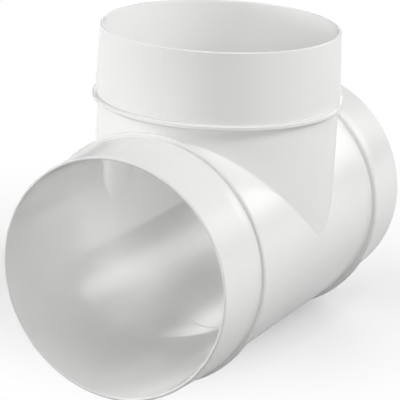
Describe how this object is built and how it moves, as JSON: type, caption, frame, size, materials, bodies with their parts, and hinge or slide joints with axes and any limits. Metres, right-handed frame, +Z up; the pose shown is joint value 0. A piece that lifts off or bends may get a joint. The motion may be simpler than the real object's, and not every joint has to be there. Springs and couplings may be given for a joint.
{
  "type": "duct tee",
  "caption": "White moulded plastic equal tee for round ventilation duct, with tapered spigots and stop beads on its straight run and square branch.",
  "frame": {"origin": "under the crossing of the axes, level with the lowest points of the run's stop beads", "axes": "+X along the straight run, +Z up along the branch"},
  "size_m": [0.169, 0.1026, 0.1358],
  "materials": {
    "moulding": "smooth white gloss as moulded"
  },
  "bodies": {
    "root": {"duct_tee": "moulding"}
  },
  "joints": []
}
